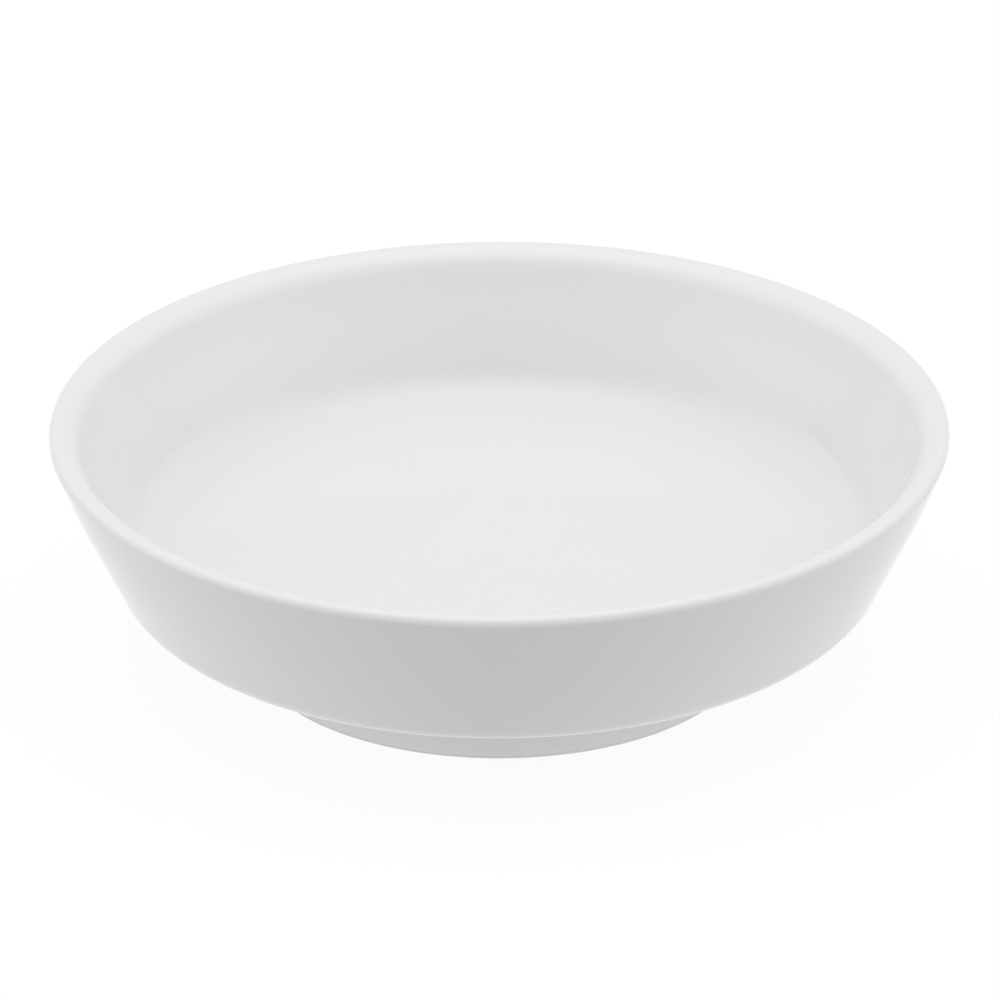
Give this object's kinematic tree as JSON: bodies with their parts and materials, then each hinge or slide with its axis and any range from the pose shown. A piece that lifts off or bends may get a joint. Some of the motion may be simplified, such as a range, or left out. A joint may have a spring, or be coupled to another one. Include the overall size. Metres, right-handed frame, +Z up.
{
  "type": "soy sauce dish",
  "caption": "Small round white porcelain dish for soy sauce or dips: flat floor, flared wall that steepens a little below a soft rounded lip, rounded knuckle and a foot ring with a bare ground edge.",
  "frame": {"origin": "centre of the foot ring, on the table that the dish stands on", "axes": "+Z up along the dish's axis of revolution; the dish is round, so X and Y are free, and -Y faces the viewer of the picture"},
  "size_m": [0.09, 0.09, 0.025],
  "materials": {
    "clay": "dry, matte, finely ground fired porcelain clay, bare only on the edge of the foot ring",
    "glaze": "smooth glossy clear glaze over white porcelain, with a few pin-head specks"
  },
  "bodies": {
    "root": {"dish_body": "clay", "foot_ring": "clay", "main_glaze": "glaze", "base_glaze": "glaze"}
  },
  "joints": []
}
